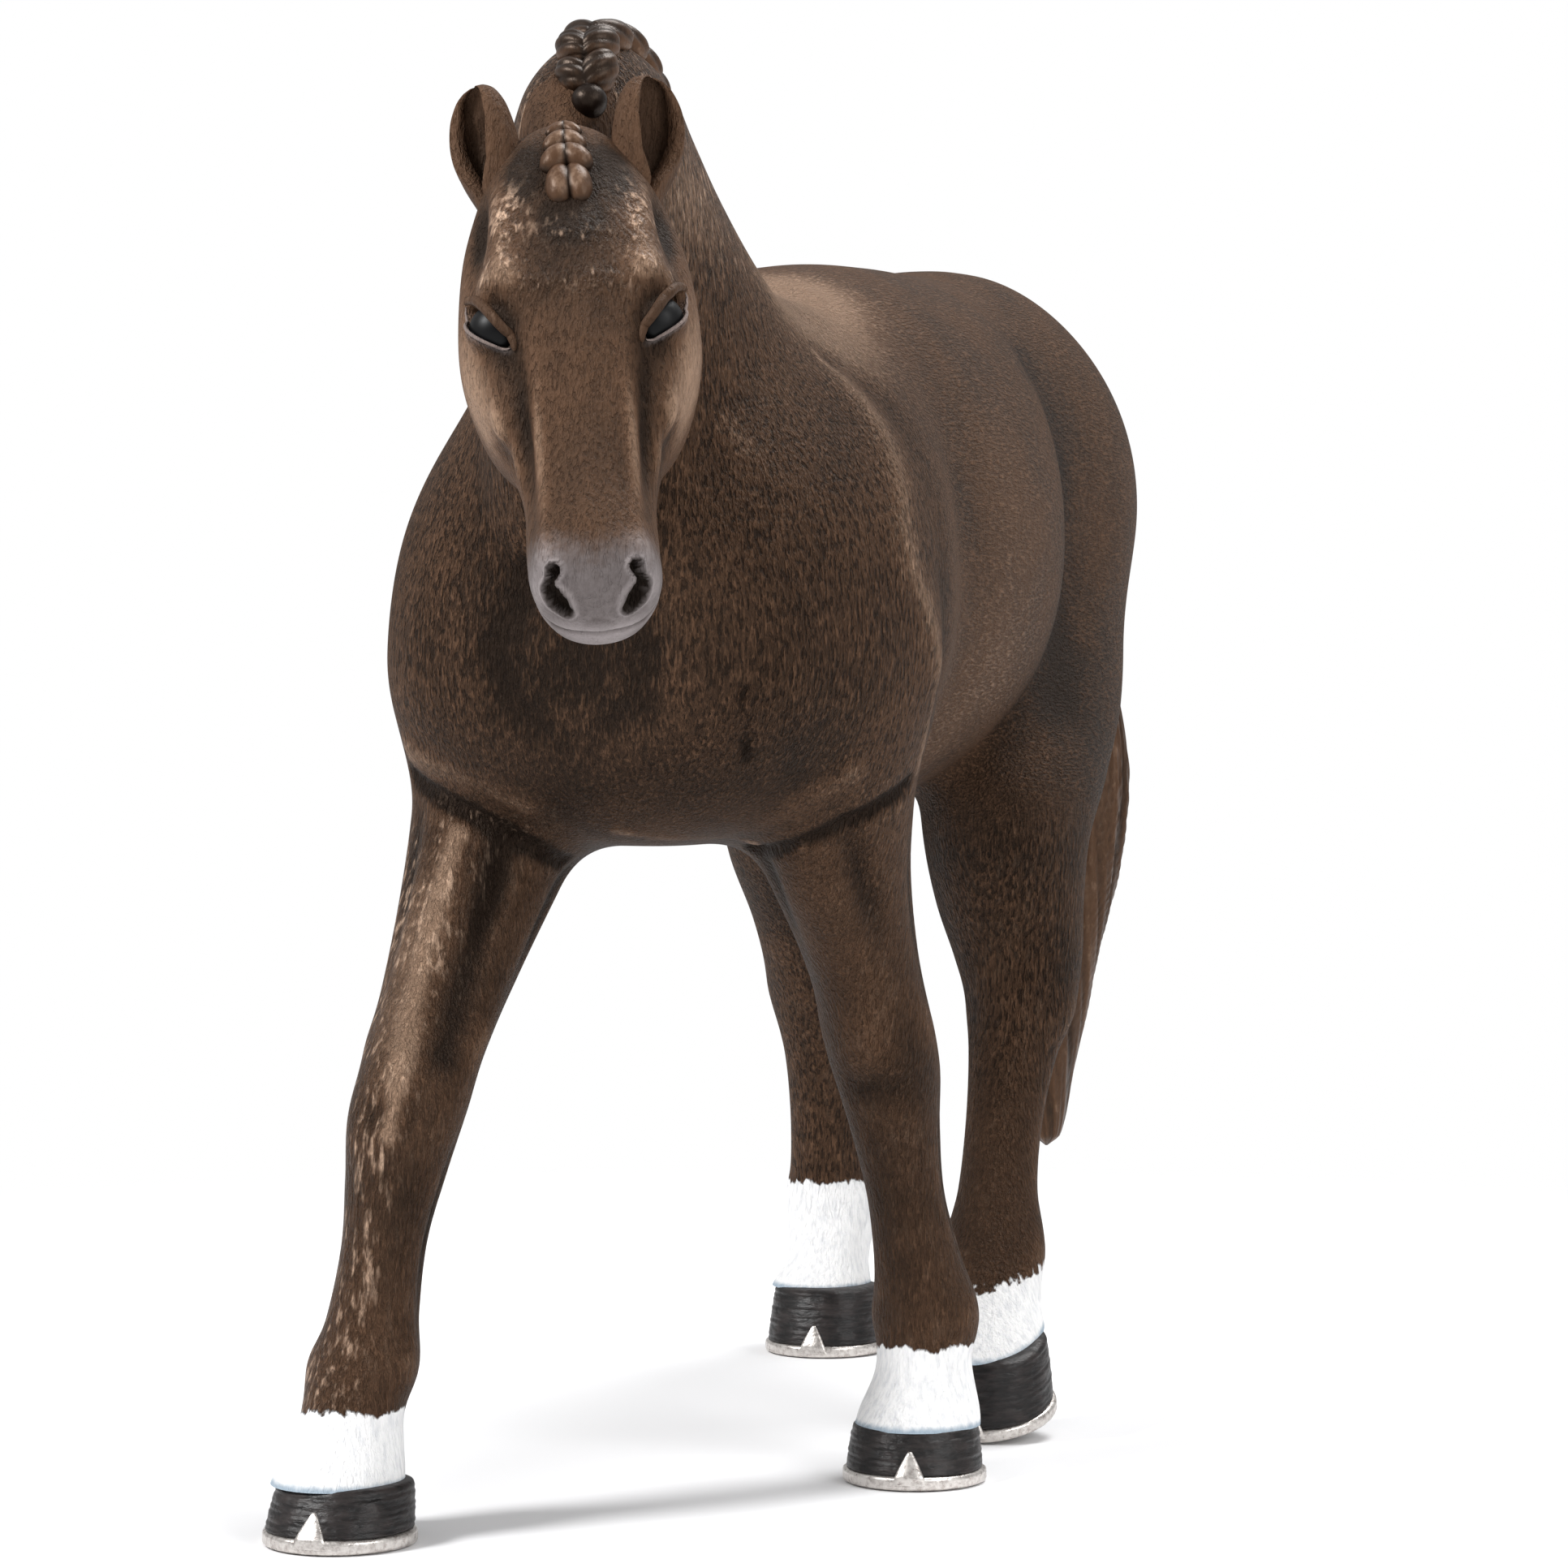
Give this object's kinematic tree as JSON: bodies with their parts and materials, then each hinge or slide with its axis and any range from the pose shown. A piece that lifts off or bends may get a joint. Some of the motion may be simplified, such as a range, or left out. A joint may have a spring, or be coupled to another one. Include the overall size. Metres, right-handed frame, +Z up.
{
  "type": "toy horse figure",
  "caption": "Walking toy horse with its head turned to its left, plaited mane, hanging tail, white socks and shod hooves; a rigid figure that stands on its shoes.",
  "frame": {"origin": "on the ground, under the middle of the figure's bounding box", "axes": "+Z up, +Y from head to tail, +X towards the horse's left side"},
  "size_m": [0.0396, 0.1376, 0.1036],
  "materials": {
    "coat": "hand-painted dark brown, satin, with lighter dry brushing",
    "mane": "glossy dark brown paint",
    "eye": "glossy black paint",
    "sock": "matt white paint",
    "hoof": "satin black paint",
    "shoe": "bright silver paint"
  },
  "bodies": {
    "root": {"trunk": "coat", "neck": "coat", "head": "coat", "left_ear": "coat", "right_ear": "coat", "left_eye": "eye", "right_eye": "eye", "forelock_plait": "mane", "mane_plait": "mane", "tail": "mane", "right_fore_leg": "coat", "right_fore_sock": "sock", "right_fore_hoof": "hoof", "right_fore_shoe": "shoe", "left_fore_leg": "coat", "left_fore_sock": "sock", "left_fore_hoof": "hoof", "left_fore_shoe": "shoe", "right_hind_leg": "coat", "right_hind_sock": "sock", "right_hind_hoof": "hoof", "right_hind_shoe": "shoe", "left_hind_leg": "coat", "left_hind_sock": "sock", "left_hind_hoof": "hoof", "left_hind_shoe": "shoe"}
  },
  "joints": []
}
